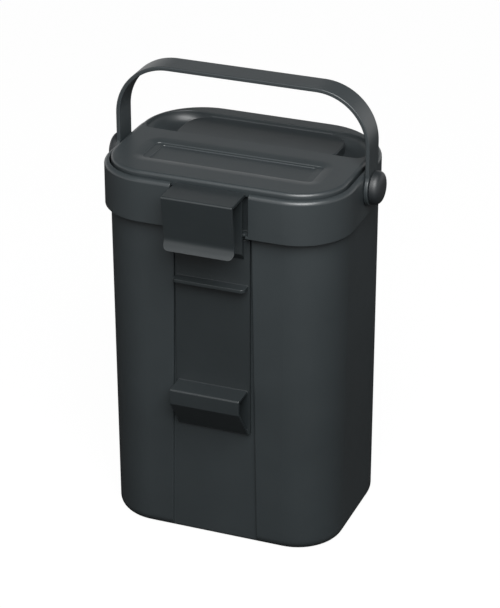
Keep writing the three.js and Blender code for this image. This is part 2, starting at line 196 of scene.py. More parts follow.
WEDGE_FRONT_Y = -88.0
WEDGE_WALL = 2.4
WEDGE_ROUND = 1.5

# How far the bracket's parts reach into each other where they join, and the block that trims the hood's lip:
# its front and rear, and how many times as wide as the hood it is.
JOIN_DEPTH = 1.0
TRIM_FRONT_Y = -110
TRIM_REAR_Y = -60
TRIM_SPREAD = 1.001

# How finely round stretches are stepped, and how far from a round stretch the flat face starts anew, so that
# its shading stays flat.
CORNER_STEPS = 16
ROUND_STEPS = 5
BOTTOM_STEPS = 9
BOWL_STEPS = 10
ROLL_STEPS = 10
EAR_STEPS = 48
EAR_FILLET_STEPS = 8
DOME_STEPS = 14
BEND_STEPS = 24
CIRCLE_STEPS = 72
FLAT_START = 0.7
BEND_MARGIN = 1.0

# Small rounds, how far a cutting block reaches past what it cuts, and the limits for tidying meshes. The
# merging distances are in metres.
SMALL_ROUND = 0.4
MOULDED_EDGE = 0.45
MOULDED_SEGMENTS = 3
REACH = 2.0
SHARP_ANGLE = math.radians(30)
FLAT_ANGLE = math.radians(0.4)
SAME_PLACE = 1e-7
NEAR_PLACE = 2e-6
FLAT_FACE_WEIGHT = 60

# Plastics: linear colour, roughness and strength of the grain, then what they have in common.
MOULDED_COLOUR = (0.029, 0.036, 0.039)
# The pins' colour is the handle's grey plastic with painted shade: it is darkened so that the pivots stay as
# dark as the shaded side of the collar round them.
PIN_SHADED_COLOUR = (0.010, 0.013, 0.015)
BRACKET_COLOUR = (0.019, 0.024, 0.026)
MOULDED_ROUGHNESS = 0.40
PIN_ROUGHNESS = 0.5
BRACKET_ROUGHNESS = 0.37
COARSE_GRAIN = 0.35
FINE_GRAIN = 0.3
PLASTIC_IOR = 1.49
PLASTIC_SPECULAR = 0.8
TONE_NOISE = {"Scale": 14, "Detail": 3}
TONE_STOPS = (0.3, 0.7)
TONE_FACTORS = (0.93, 1.07)
SHEEN_NOISE = {"Scale": 45, "Detail": 5}
SHEEN_SPREAD = 0.05
GRAIN_NOISE = {"Scale": 1900, "Detail": 2}
GRAIN_DEPTH = 0.05

# Floor, in metres: its half width, its colour and roughness, how bright the white is that the camera sees
# on it, and the distances from the bin between which reflections begin to see that white too.
FLOOR_HALF = 3.0
FLOOR_COLOUR = (0.045, 0.045, 0.045, 1)
FLOOR_ROUGHNESS = 0.9
FLOOR_LIFT = 0.97
FLOOR_DIM_RADIUS = 1.2
FLOOR_BRIGHT_RADIUS = 2.4

# Backdrop and studio. Reflections see the backdrop up to the first of these two heights, which are sines of
# an elevation, and the studio alone from the second. The studio's strength goes from that in front of the
# bin to that behind it between two directions along y.
BACKDROP_TOP = math.sin(math.radians(14))
BACKDROP_FADE = math.sin(math.radians(20))
STUDIO_FRONT = 0.34
STUDIO_BACK = 0.09
STUDIO_FRONT_Y = -0.7
STUDIO_BACK_Y = 0.3

# The lamp: where it stands as seen from the bin's middle, in degrees and metres, its width and its power.
LAMP_AZIMUTH = 27
LAMP_ELEVATION = 47
LAMP_DISTANCE = 1.6
LAMP_AIM_Z = 0.19
LAMP_WIDTH = 1.2
LAMP_POWER = 37

# The photograph's camera, found by fitting the bin's edges: a long lens, from the front right and above.
CAMERA_AZIMUTH = 21.29
CAMERA_ELEVATION = 26.16
CAMERA_DISTANCE = 1.9616
CAMERA_TARGET = (3.44, 0, 180.4)
IMAGE_HEIGHT = 608
FOCAL_PIXELS = 2509.5
HORIZON_OFFSET_PIXELS = -7.51
SENSOR = 36
CLIP_START = 0.1
CLIP_END = 20


def arc(centre_x, centre_y, radius, start, end, steps):
    """Points on part of a circle, angles in degrees, both ends included."""
    found = []
    for step in range(steps + 1):
        angle = math.radians(start + (end - start) * step / steps)
        found.append((centre_x + radius * math.cos(angle), centre_y + radius * math.sin(angle)))
    return found


def quarter(steps):
    """The angles of a quarter turn in radians, both ends included."""
    return [math.radians(90 * step / steps) for step in range(steps + 1)]


def outline(plan, amount=0.0):
    """Points of a rounded rectangle drawn in by an amount, anticlockwise from its right-hand front corner."""
    half, front, rear = plan["half"] - amount, plan["front"] - amount, plan["rear"] - amount
    front_radius, rear_radius = plan["front_radius"] - amount, plan["rear_radius"] - amount
    corners = [
        (half - front_radius, front_radius - front, front_radius, -90),
        (half - rear_radius, rear - rear_radius, rear_radius, 0),
        (rear_radius - half, rear - rear_radius, rear_radius, 90),
        (front_radius - half, front_radius - front, front_radius, 180),
    ]
    found = []
    for x, y, radius, start in corners:
        points = arc(x, y, radius, start, start + 90, CORNER_STEPS)
        along = (-math.sin(math.radians(start)), math.cos(math.radians(start)))
        found.append((points[0][0] - FLAT_START * along[0], points[0][1] - FLAT_START * along[1]))
        found.extend(points)
        found.append((points[-1][0] - FLAT_START * along[1], points[-1][1] + FLAT_START * along[0]))
    return found


def narrowed(plan, side_inset, end_inset):
    """A plan drawn in at its sides by one amount, and at its front, rear and corners by another."""
    found = {key: value - end_inset for key, value in plan.items()}
    found["half"] = plan["half"] - side_inset
    return found


def bucket_plan(z):
    """The bucket's plan at a height: it narrows downwards."""
    below = 1 - z / BUCKET_HEIGHT
    return {
        "half": BUCKET["half"] - SIDE_DRAFT * below,
        "front": BUCKET["front"] - FRONT_DRAFT * below,
        "rear": BUCKET["rear"] - REAR_DRAFT * below,
        "front_radius": BUCKET["front_radius"],
        "rear_radius": BUCKET["rear_radius"] - REAR_CORNER_TAPER * below,
    }


def spigot_plan():
    """The plan of the collar's inner wall, which goes down into the bucket with a little play."""
    inset = WALL + SPIGOT_GAP
    plan = narrowed(bucket_plan(SPIGOT_BOTTOM), inset, inset)
    plan["rear"] -= SPIGOT_REAR_PLAY
    return plan


class Shape:
    """Gathers points and faces in millimetres and makes one closed mesh of them."""

    def __init__(self):
        self.points = []
        self.faces = []

    def ring(self, points):
        first = len(self.points)
        self.points.extend(points)
        return list(range(first, len(self.points)))

    def level(self, flat_points, z):
        return self.ring([(x, y, z) for x, y in flat_points])

    def cap(self, ring):
        self.faces.append(tuple(ring))

    def strips(self, rings):
        """Walls between each ring and the next."""
        for one, two in zip(rings, rings[1:]):
            for i in range(len(one)):
                j = (i + 1) % len(one)
                self.faces.append((one[i], one[j], two[j], two[i]))

    def close(self, rings):
        """Walls between the rings, and a flat end at the first and at the last."""
        self.strips(rings)
        self.cap(rings[0])
        self.cap(rings[-1])

    def cap_with_holes(self, outer, holes):
        """A flat face between an outer ring and the rings of its holes."""
        loops = [outer, *holes]
        numbers = [i for loop in loops for i in loop]
        vectors = [[Vector(self.points[i]) for i in loop] for loop in loops]
        for triangle in tessellate_polygon(vectors):
            self.faces.append(tuple(numbers[i] for i in triangle))

    def make(self, name):
        """The finished object, with its faces turned outwards."""
        mesh = bpy.data.meshes.new(name)
        mesh.from_pydata([Vector(point) * MM for point in self.points], [], self.faces)
        tidy = bmesh.new()
        tidy.from_mesh(mesh)
        bmesh.ops.remove_doubles(tidy, verts=tidy.verts, dist=SAME_PLACE)
        bmesh.ops.recalc_face_normals(tidy, faces=tidy.faces)
        tidy.to_mesh(mesh)
        tidy.free()
        made = bpy.data.objects.new(name, mesh)
        bpy.context.scene.collection.objects.link(made)
        return made


def prism(name, points, place, low, high):
    """A flat outline stretched between two depths; place turns (u, v, depth) into (x, y, z)."""
    shape = Shape()
    rings = [shape.ring([place(u, v, depth) for u, v in points]) for depth in (low, high)]
    shape.cap(rings[0])
    shape.cap(rings[1])
    shape.strips(rings)
    return shape.make(name)


def across_x(name, points, half):
    """A side view in (y, z), stretched across the bin."""
    return prism(name, points, lambda u, v, depth: (depth, u, v), -half, half)


def upwards(name, points, low, high):
    """A view from above in (x, y), stretched between two heights."""
    return prism(name, points, lambda u, v, depth: (u, v, depth), low, high)


def block(name, half, y, z):
    """A block of a half width, between two places in y and two heights."""
    return upwards(name, [(-half, y[0]), (half, y[0]), (half, y[1]), (-half, y[1])], z[0], z[1])


def stacked(name, rings_of):
    """A closed body from a function that adds its rings to a shape, from one end to the other."""
    shape = Shape()
    shape.close(rings_of(shape))
    return shape.make(name)


def pillar(name, plan, amount, low, high):
    """A plan drawn in by an amount and stretched between two heights."""
    return stacked(name, lambda shape: [shape.level(outline(plan, amount), z) for z in (low, high)])


def lathe(name, profile, side):
    """A round body about the pivot line, from (x, radius) pairs; both ends are closed flat."""
    def rings_of(shape):
        circles = [(x, arc(0, PIVOT_Z, radius, 0, 360, CIRCLE_STEPS)[:-1]) for x, radius in profile]
        return [shape.ring([(side * x, y, z) for y, z in circle]) for x, circle in circles]
    return stacked(name, rings_of)


def apply_modifiers(made):
    """Turns what the modifiers show into the object's own mesh."""
    graph = bpy.context.evaluated_depsgraph_get()
    mesh = bpy.data.meshes.new_from_object(made.evaluated_get(graph))
    old = made.data
    made.modifiers.clear()
    made.data = mesh
    bpy.data.meshes.remove(old)


def combine(made, other, operation):
    """Joins, cuts or intersects with another object, which is used up."""
    modifier = made.modifiers.new("combine", "BOOLEAN")
    modifier.operation = operation
    modifier.solver = "EXACT"
    modifier.object = other
    bpy.context.view_layer.update()
    apply_modifiers(made)
    used = other.data
    bpy.data.objects.remove(other)
    bpy.data.meshes.remove(used)


def merge_flat(made):
    """Drops the needless edges inside flat faces that joining and cutting leave."""
    tidy = bmesh.new()
    tidy.from_mesh(made.data)
    bmesh.ops.remove_doubles(tidy, verts=tidy.verts, dist=NEAR_PLACE)
    bmesh.ops.dissolve_limit(tidy, angle_limit=FLAT_ANGLE, verts=tidy.verts, edges=tidy.edges)
    tidy.to_mesh(made.data)
    tidy.free()


def round_edges(made, width):
    """The small rounds that a mould leaves on every sharp edge."""
    modifier = made.modifiers.new("moulded edges", "BEVEL")
    modifier.width = width * MM
    modifier.segments = MOULDED_SEGMENTS
    modifier.limit_method = "ANGLE"
    modifier.angle_limit = SHARP_ANGLE
    modifier.use_clamp_overlap = True
    modifier.miter_outer = "MITER_ARC"
    bpy.context.view_layer.update()
    apply_modifiers(made)


def shade(made):
    """Smooth shading that leaves large flat faces flat."""
    made.data.shade_smooth()
    made.data.set_sharp_from_angle(angle=SHARP_ANGLE)
    modifier = made.modifiers.new("flat faces", "WEIGHTED_NORMAL")
    modifier.keep_sharp = True
    modifier.weight = FLAT_FACE_WEIGHT
    bpy.context.view_layer.update()
    apply_modifiers(made)


def channel_wall(half, depth_share):
    """Half of the channel's cross-section, from the front face to its floor, as (x, depth) pairs."""
    found = [(half + CHANNEL_EDGE + FLAT_START, 0.0)]
    found += arc(half + CHANNEL_EDGE, CHANNEL_EDGE, CHANNEL_EDGE, 270, 180, ROUND_STEPS)
    corner_x = half - CHANNEL_SLOPE - CHANNEL_CORNER
    found += arc(corner_x, CHANNEL_DEPTH - CHANNEL_CORNER, CHANNEL_CORNER, 0, 90, ROUND_STEPS)
    found.append((corner_x - FLAT_START, CHANNEL_DEPTH))
    return [(x, depth * depth_share) for x, depth in found]


def bucket_level(shape, z, inset=0, thickness=0, share=1):
    """One level of the bucket, with a share of the channel's depth let into the front."""
    plan = bucket_plan(z)
    half = CHANNEL_TOP_HALF + (CHANNEL_BOTTOM_HALF - CHANNEL_TOP_HALF) * (1 - z / CHANNEL_TOP) + thickness
    front_y = inset - plan["front"]
    floor_y = CHANNEL_FLOOR_Y + thickness
    depth_share = max(0.0, min(1.0, (floor_y - front_y) / CHANNEL_DEPTH)) * share
    wall = channel_wall(half, depth_share)
    left = [(-x, front_y + depth) for x, depth in wall]
    right = [(x, front_y + depth) for x, depth in reversed(wall)]
    return shape.level(outline(plan, inset) + left + right, z)


def make_bucket():
    """The outside from the bottom up, the rim, and the inside down to its floor."""
    shape = Shape()
    rings = []
    for angle in quarter(BOTTOM_STEPS):
        z = BOTTOM_FILLET * (1 - math.cos(angle))
        rings.append(bucket_level(shape, z, BOTTOM_FILLET * (1 - math.sin(angle))))
    rings += [bucket_level(shape, z) for z in OUTSIDE_LEVELS]
    rings += [bucket_level(shape, CHANNEL_TOP - below, share=share) for below, share in OUTSIDE_RUN_OUT]
    rim_low = BUCKET_HEIGHT - RIM_ROUND
    for angle in quarter(ROUND_STEPS):
        z = rim_low + RIM_ROUND * math.sin(angle)
        rings.append(bucket_level(shape, z, RIM_ROUND * (1 - math.cos(angle)), share=0))
    for angle in reversed(quarter(ROUND_STEPS)):
        z = rim_low + RIM_ROUND * math.sin(angle)
        rings.append(bucket_level(shape, z, WALL - RIM_ROUND * (1 - math.cos(angle)), share=0))
    rings += [bucket_level(shape, z, WALL, WALL, share) for z, share in INSIDE_RUN_OUT]
    rings += [bucket_level(shape, z, WALL, WALL) for z in INSIDE_LEVELS]
    inner_fillet = BOTTOM_FILLET - WALL
    for angle in reversed(quarter(BOTTOM_STEPS)):
        z = BUCKET_FLOOR + inner_fillet * (1 - math.cos(angle))
        rings.append(bucket_level(shape, z, WALL + inner_fillet * (1 - math.sin(angle)), WALL))
    shape.close(rings)
    return shape.make("bucket_body")


def collar_section():
    """The collar's closed cross-section as (plan, amount, z), once round from its lower outer edge."""
    spigot = spigot_plan()
    section = []

    def straight(plan, *points):
        section.extend((plan, amount, z) for amount, z in points)

    def corner(plan, centre_amount, centre_z, radius, start):
        straight(plan, *arc(centre_amount, centre_z, radius, start, start - 90, ROUND_STEPS))

    corner(COLLAR, SMALL_ROUND, COLLAR_BOTTOM + SMALL_ROUND, SMALL_ROUND, 270)
    straight(COLLAR, (0, COLLAR_BOTTOM + SMALL_ROUND + FLAT_START), (0, RIM_TOP - COLLAR_EDGE - FLAT_START))
    corner(COLLAR, COLLAR_EDGE, RIM_TOP - COLLAR_EDGE, COLLAR_EDGE, 180)
    corner(COLLAR, RIM_LIP - COLLAR_INNER_EDGE, RIM_TOP - COLLAR_INNER_EDGE, COLLAR_INNER_EDGE, 90)
    straight(
        COLLAR,
        (RIM_LIP, RIM_TOP - RIM_LIP_HEIGHT),
        (COLLAR_BAND, RIM_TOP - RIM_LIP_HEIGHT - (RIM_LIP - COLLAR_BAND)),
        (COLLAR_BAND, COLLAR_SHELF_TOP + FLAT_START),
        (COLLAR_BAND, COLLAR_SHELF_TOP),
    )
    straight(spigot, (0, COLLAR_SHELF_TOP), (0, LID_SEAT - SMALL_ROUND - FLAT_START))
    corner(spigot, SMALL_ROUND, LID_SEAT - SMALL_ROUND, SMALL_ROUND, 180)
    corner(spigot, INNER_WALL - SMALL_ROUND, LID_SEAT - SMALL_ROUND, SMALL_ROUND, 90)
    straight(
        spigot,
        (INNER_WALL, LID_SEAT - SMALL_ROUND - FLAT_START),
        (INNER_WALL, SPIGOT_BOTTOM + SMALL_ROUND + FLAT_START),
    )
    corner(spigot, INNER_WALL - SMALL_ROUND, SPIGOT_BOTTOM + SMALL_ROUND, SMALL_ROUND, 0)
    corner(spigot, SMALL_ROUND, SPIGOT_BOTTOM + SMALL_ROUND, SMALL_ROUND, 270)
    straight(spigot, (0, COLLAR_BOTTOM))
    return section


def cut_pin_holes(made):
    """Cuts a hole for a pin at each side, from within the collar's trough outwards."""
    profile = [(HOLE_START_X, HOLE_RADIUS), (LEG_INNER + HANDLE_THICKNESS + REACH, HOLE_RADIUS)]
    for side in (-1, 1):
        combine(made, lathe("pin_hole", profile, side), "DIFFERENCE")


def make_collar():
    """The ring, with its cut-out for the bracket's arm, the slot for the hood and the notch in the spigot."""
    shape = Shape()
    rings = [shape.level(outline(plan, amount), z) for plan, amount, z in collar_section()]
    shape.strips([*rings, rings[0]])
    made = shape.make("collar_ring")
    ahead = -COLLAR["front"] - REACH
    above = RIM_TOP + REACH
    for name, half, rear_y, low, high in (
        ("cut_out", CUT_OUT_HALF, RIM_LIP + CUT_OUT_PLAY - COLLAR["front"], COLLAR_SHELF_TOP, above),
        ("slot", SLOT_HALF, SLOT_REAR_Y, COLLAR_BOTTOM - REACH, above),
        ("notch", NOTCH_HALF, NOTCH_REAR_Y, SPIGOT_BOTTOM - REACH, COLLAR_BOTTOM - NOTCH_PLAY),
    ):
        combine(made, block(name, half, (ahead, rear_y), (low, high)), "DIFFERENCE")
    cut_pin_holes(made)
    merge_flat(made)
    round_edges(made, COLLAR_ROUND)
    return made


def recess_rings(shape):
    """Rings from the lid's top, which rolls down a little round the recess, to the recess's floor."""
    rings = []
    for step in range(ROLL_STEPS):
        share = step / ROLL_STEPS
        outset = RECESS_EDGE + RECESS_ROLL_RUN * (1 - share)
        rings.append(shape.level(outline(RECESS, -outset), LID_TOP - RECESS_ROLL * share ** 2))
    for angle in quarter(ROUND_STEPS):
        inset = -RECESS_EDGE * (1 - math.sin(angle))
        z = LID_TOP - RECESS_ROLL - RECESS_EDGE * (1 - math.cos(angle))
        rings.append(shape.level(outline(RECESS, inset), z))
    for angle in quarter(ROUND_STEPS):
        inset = RECESS_EDGE * (1 - math.cos(angle))
        floor = narrowed(RECESS, RECESS_END_RUN + inset, RECESS_SLOPE + inset)
        z = LID_TOP - RECESS_DEPTH + RECESS_EDGE * (1 - math.sin(angle))
        rings.append(shape.level(outline(floor), z))
    return rings


def bowl(shape, start, drop, growth):
    """Rings down the well's wall, a quarter ellipse from an inset and a drop on, grown outwards."""
    rings = []
    for angle in quarter(BOWL_STEPS):
        side = WELL_SIDE_RUN - (WELL_SIDE_RUN - start + growth) * math.cos(angle)
        end = WELL_END_RUN - (WELL_END_RUN - start + growth) * math.cos(angle)
        z = LID_TOP - drop - (WELL_DEPTH - drop + growth) * math.sin(angle)
        rings.append(shape.level(outline(narrowed(WELL, side, end)), z))
    return rings


def well_rings(shape):
    """Rings of the well from its rounded edge in the lid's top down to its floor."""
    rings = []
    for angle in quarter(ROUND_STEPS)[:-1]:
        inset = WELL_LIP + WELL_EDGE * math.sin(angle)
        rings.append(shape.level(outline(WELL, inset), LID_TOP - WELL_EDGE * (1 - math.cos(angle))))
    return rings + bowl(shape, WELL_LIP + WELL_EDGE, WELL_EDGE, 0)


def grip_rings(shape):
    """Rings of the grip from below the well's floor up to its rounded top."""
    rings = [shape.level(outline(GRIP), LID_TOP - WELL_DEPTH - LID_SHELL)]
    for angle in quarter(2 * ROUND_STEPS):
        inset = GRIP_SLOPE + GRIP_EDGE * (1 - math.cos(angle))
        rings.append(shape.level(outline(GRIP, inset), GRIP_TOP - GRIP_EDGE * (1 - math.sin(angle))))
    return [*rings, shape.level(outline(GRIP, GRIP_SLOPE + GRIP_EDGE + FLAT_START), GRIP_TOP)]


def make_cove():
    """The hollow round between the grip's top and the well's rear wall."""
    sine = (LID_TOP - WELL_EDGE - GRIP_TOP) / (WELL_DEPTH - WELL_EDGE)
    wall_run = WELL_END_RUN - WELL_LIP - WELL_EDGE
    wall_y = WELL["rear"] - WELL_END_RUN + wall_run * math.sqrt(1 - sine ** 2) + COVE_BITE
    centre_y, centre_z = wall_y - COVE_RADIUS, GRIP_TOP + COVE_RADIUS
    front_y, rear_y = centre_y - COVE_FOOT, WELL["rear"] + COVE_REACH
    low = GRIP_TOP - 2 * GRIP_EDGE
    points = [(front_y, low), (front_y, GRIP_TOP - COVE_SINK)]
    points += arc(centre_y, centre_z, COVE_RADIUS, 270, 360, ROUND_STEPS)
    points += [(rear_y, centre_z), (rear_y, low)]
    return across_x("cove", points, COVE_HALF)


def make_lid():
    """The plate with its skirt, recess, well and grip, hollowed from below."""
    shape = Shape()
    plate = narrowed(COLLAR, LID_INSET, LID_END_INSET)
    skirt = {key: value - INNER_WALL - SKIRT_GAP for key, value in spigot_plan().items()}
    side = [shape.level(outline(plan, amount), z) for plan, amount, z in (
        (skirt, SMALL_ROUND, SKIRT_BOTTOM),
        (skirt, 0, SKIRT_BOTTOM + SMALL_ROUND),
        (skirt, 0, LID_UNDERSIDE),
        (plate, SMALL_ROUND, LID_UNDERSIDE),
        (plate, 0, LID_UNDERSIDE + SMALL_ROUND),
        (plate, 0, LID_UNDERSIDE + SMALL_ROUND + FLAT_START),
    )]
    for angle in quarter(2 * ROUND_STEPS):
        inset = LID_EDGE * (1 - math.cos(angle))
        side.append(shape.level(outline(plate, inset), LID_TOP - LID_EDGE * (1 - math.sin(angle))))
    side.append(shape.level(outline(plate, LID_EDGE + LID_FLAT_START), LID_TOP))
    recess = recess_rings(shape)
    well = well_rings(shape)
    for rings in (side, recess, well):
        shape.strips(rings)
    for ring in (side[0], recess[-1], well[-1]):
        shape.cap(ring)
    shape.cap_with_holes(side[-1], [recess[0], well[0]])
    made = shape.make("lid_plate")

    # The underside follows the recess, the well and the grip at the shell's thickness.
    recess_back = LID_TOP - RECESS_DEPTH - LID_SHELL
    hollow = pillar("hollow", skirt, LID_SHELL, SKIRT_BOTTOM - REACH, LID_TOP - LID_SHELL)
    combine(hollow, stacked("well_back", lambda shape: bowl(shape, 0, 0, LID_SHELL)), "DIFFERENCE")
    combine(hollow, pillar("recess_back", RECESS, -LID_SHELL, recess_back, LID_TOP), "DIFFERENCE")
    combine(made, hollow, "DIFFERENCE")
    combine(made, stacked("grip", grip_rings), "UNION")
    grip_low = LID_TOP - WELL_DEPTH - LID_SHELL - REACH
    inside = pillar("grip_inside", GRIP, LID_SHELL + GRIP_SLOPE, grip_low, GRIP_TOP - LID_SHELL)
    combine(made, inside, "DIFFERENCE")
    combine(made, make_cove(), "UNION")
    merge_flat(made)
    return made


def ear_outline():
    """The flat strip before it is bent, as (distance along, across) pairs, with a round ear at each end."""
    reach = EAR_RADIUS + EAR_FILLET
    fillet_y = HANDLE_HALF_WIDTH + EAR_FILLET
    fillet_s = math.sqrt(reach ** 2 - fillet_y ** 2)
    lean = math.degrees(math.atan2(fillet_y, fillet_s))
    near = arc(fillet_s, fillet_y, EAR_FILLET, 270, 180 + lean, EAR_FILLET_STEPS)[:-1]
    near += arc(0, 0, EAR_RADIUS, lean, 360 - lean, EAR_STEPS)
    near += arc(fillet_s, -fillet_y, EAR_FILLET, 180 - lean, 90, EAR_FILLET_STEPS)[1:]
    far = [(STRIP_LENGTH - s, -y) for s, y in near]
    return near + far


def drawn_in(points, amount):
    """A closed anticlockwise outline, moved inwards along its own normals."""
    found = []
    count = len(points)
    for i in range(count):
        before, after = Vector(points[i - 1]), Vector(points[(i + 1) % count])
        along = (after - before).normalized()
        found.append((points[i][0] - along.y * amount, points[i][1] + along.x * amount))
    return found


def strip_rings(shape):
    """Rings of the flat strip from its outer face, over its rounded edges, to its inner face."""
    flat = ear_outline()
    half = HANDLE_THICKNESS / 2
    face = drawn_in(flat, HANDLE_EDGE + FLAT_START)
    angles = quarter(ROUND_STEPS)
    rings = [shape.level(face, half)]
    for height, sign, turns in ((half - HANDLE_EDGE, 1, angles[::-1]), (HANDLE_EDGE - half, -1, angles)):
        for angle in turns:
            edge = drawn_in(flat, HANDLE_EDGE * (1 - math.cos(angle)))
            rings.append(shape.level(edge, height + sign * HANDLE_EDGE * math.sin(angle)))
    rings.append(shape.level(face, -half))
    return rings


def bent(along, across, out):
    """Where a point of the flat strip comes to lie on the bail, in millimetres."""
    from_middle = along - STRIP_LENGTH / 2
    side = 1 if from_middle < 0 else -1
    distance = abs(from_middle) - SPAN / 2
    if distance < 0:
        return (-from_middle, across, BEND_Z + BEND_RADIUS + out)
    if distance < BEND_LENGTH:
        angle = distance / BEND_RADIUS
        reach = BEND_RADIUS + out
        return (side * (BEND_X + reach * math.sin(angle)), across, BEND_Z + reach * math.cos(angle))
    return (side * (BEND_X + BEND_RADIUS + out), across, BEND_Z - (distance - BEND_LENGTH))


def make_handle():
    """The flat strip, cut across at its bends so that it bends smoothly, and then bent to a bail."""
    made = stacked("handle_bail", strip_rings)
    second_bend = LEG + BEND_LENGTH + SPAN
    stations = [LEG - BEND_MARGIN, LEG + BEND_LENGTH + BEND_MARGIN]
    stations += [second_bend - BEND_MARGIN, second_bend + BEND_LENGTH + BEND_MARGIN]
    for step in range(BEND_STEPS + 1):
        stations.append(LEG + BEND_LENGTH * step / BEND_STEPS)
        stations.append(second_bend + BEND_LENGTH * step / BEND_STEPS)
    cutting = bmesh.new()
    cutting.from_mesh(made.data)
    for station in sorted(stations):
        bmesh.ops.bisect_plane(
            cutting,
            geom=cutting.verts[:] + cutting.edges[:] + cutting.faces[:],
            dist=SAME_PLACE,
            plane_co=(station * MM, 0, 0),
            plane_no=(1, 0, 0),
        )
    for vertex in cutting.verts:
        vertex.co = Vector(bent(*(vertex.co / MM))) * MM
    bmesh.ops.recalc_face_normals(cutting, faces=cutting.faces)
    cutting.to_mesh(made.data)
    cutting.free()
    cut_pin_holes(made)
    return made


def make_pin(name, side):
    """A pin with a barb behind the collar's band, a shank through the ear and a domed head."""
    profile = [(BARB_START - BARB_LENGTH, SHANK_RADIUS), (BARB_START, BARB_RADIUS)]
    profile += [(BARB_START, SHANK_RADIUS), (PIN_BASE_X, SHANK_RADIUS)]
    profile.append((PIN_BASE_X, PIN_BASE_RADIUS - PIN_BASE_ROUND))
    dome_x = PIN_BASE_X + PIN_BASE_ROUND
    profile += arc(dome_x, PIN_BASE_RADIUS - PIN_BASE_ROUND, PIN_BASE_ROUND, 180, 90, ROUND_STEPS)[1:]
    for angle in quarter(DOME_STEPS)[1:-1]:
        x = dome_x + (PIN_TOP_X - dome_x) * math.sin(angle) ** PIN_FULLNESS
        profile.append((x, PIN_BASE_RADIUS * math.cos(angle) ** PIN_FULLNESS))
    return lathe(name, profile, side)


def lip_curve(y):
    """The lip's curve outwards at the foot of the leaning front, whose face starts at y at the hood's top."""
    found = []
    slope = HOOD_LEAN / (HOOD_TOP - LIP_START)
    for step in range(2 * ROUND_STEPS + 1):
        share = step / (2 * ROUND_STEPS)
        below = (LIP_START - LIP_END) * share
        found.append((y + HOOD_LEAN + slope * below - LIP_FLARE * share ** LIP_CURVE, LIP_START - below))
    return found


def tongue(half, start, end, corner, steps):
    """A flat outline that is square at its start and has round corners at its other end."""
    points = [(half, start), (-half, start)]
    points += arc(corner - half, end + corner, corner, 180, 270, steps)
    points += arc(half - corner, end + corner, corner, 270, 360, steps)
    return points


def make_hood():
    """The hook: a flat top, a front that leans inwards, and a flared lip with round corners."""
    inner_y = HOOD_FRONT_Y + HOOD_WALL
    under = HOOD_TOP - HOOD_WALL
    side_view = [(ARM_REAR_Y, HOOD_TOP)]
    side_view += arc(HOOD_FRONT_Y + HOOD_BEND, HOOD_TOP - HOOD_BEND, HOOD_BEND, 90, 180, ROUND_STEPS + 2)
    side_view += lip_curve(HOOD_FRONT_Y) + lip_curve(inner_y)[::-1]
    side_view += [(inner_y, under), (ARM_REAR_Y, under)]
    made = across_x("hood", side_view, HOOD_HALF)
    front_view = tongue(HOOD_HALF, RIM_TOP + REACH, LIP_END, LIP_CORNER, 2 * ROUND_STEPS)
    wide = [(x * TRIM_SPREAD, z) for x, z in front_view]
    trim = prism("trim", wide, lambda u, v, depth: (u, depth, v), TRIM_FRONT_Y, TRIM_REAR_Y)
    combine(made, trim, "INTERSECT")
    return made


def make_wedge():
    """A bent plate with open sides: a flat top, a short upright front and a slope back to the plate."""
    within = PLATE_REAR_Y - JOIN_DEPTH
    lip_z = WEDGE_TOP - WEDGE_LIP
    side_view = [(within, WEDGE_TOP)]
    side_view += arc(WEDGE_FRONT_Y + WEDGE_ROUND, WEDGE_TOP - WEDGE_ROUND, WEDGE_ROUND, 90, 180, ROUND_STEPS)
    side_view += [(WEDGE_FRONT_Y, lip_z), (PLATE_FRONT_Y, PLATE_BOTTOM), (within, PLATE_BOTTOM)]
    reach, rise = PLATE_FRONT_Y - WEDGE_FRONT_Y, lip_z - PLATE_BOTTOM
    rear_low = PLATE_BOTTOM + WEDGE_WALL * math.hypot(reach, rise) / reach
    inner_y, under = WEDGE_FRONT_Y + WEDGE_WALL, WEDGE_TOP - WEDGE_WALL
    hollow = [(PLATE_FRONT_Y, under), (inner_y, under)]
    hollow += [(inner_y, rear_low + (reach - WEDGE_WALL) * rise / reach), (PLATE_FRONT_Y, rear_low)]
    made = across_x("wedge", side_view, WEDGE_HALF)
    combine(made, across_x("wedge_hollow", hollow, WEDGE_HALF + REACH), "DIFFERENCE")
    return made


def make_bracket():
    """The plate in the channel, with its arm, its hood, its thin rib and its wedge."""
    foot = PLATE_TOP - ARM_FOOT_DROP
    foot_low = foot - ARM_FOOT_SLOPE
    arm_top = HOOD_TOP - JOIN_DEPTH
    arm_view = [(PLATE_REAR_Y, PLATE_TOP), (PLATE_REAR_Y, foot_low), (PLATE_FRONT_Y, foot_low)]
    arm_view += [(ARM_FRONT_Y, foot), (ARM_FRONT_Y, arm_top), (ARM_REAR_Y, arm_top), (ARM_REAR_Y, PLATE_TOP)]
    made = block("hanging_hook", PLATE_HALF, (PLATE_FRONT_Y, PLATE_REAR_Y), (PLATE_BOTTOM, PLATE_TOP))
    combine(made, across_x("arm", arm_view, ARM_HALF), "UNION")
    combine(made, make_hood(), "UNION")
    rib_view = tongue(RIB_HALF, PLATE_REAR_Y - JOIN_DEPTH, RIB_FRONT_Y, RIB_CORNER, ROUND_STEPS)
    combine(made, upwards("rib", rib_view, RIB_TOP - RIB_THICKNESS, RIB_TOP), "UNION")
    combine(made, make_wedge(), "UNION")
    merge_flat(made)
    round_edges(made, MOULDED_EDGE)
    return made


def feed(tree, made, inputs):
    """Sets a shader node's inputs; each takes another node's output, or a number or colour."""
    for key, value in inputs.items():
        if isinstance(value, bpy.types.NodeSocket):
            tree.links.new(value, made.inputs[key])
        else:
            made.inputs[key].default_value = value


def node(tree, kind, inputs=None, operation=None):
    """A new shader node with its inputs set, and its operation where it has one."""
    made = tree.nodes.new(kind)
    if operation:
        made.operation = operation
    feed(tree, made, inputs or {})
    return made


def calculated(tree, operation, one, two):
    """A socket with the result of a calculation on two values."""
    return node(tree, "ShaderNodeMath", {0: one, 1: two}, operation).outputs["Value"]


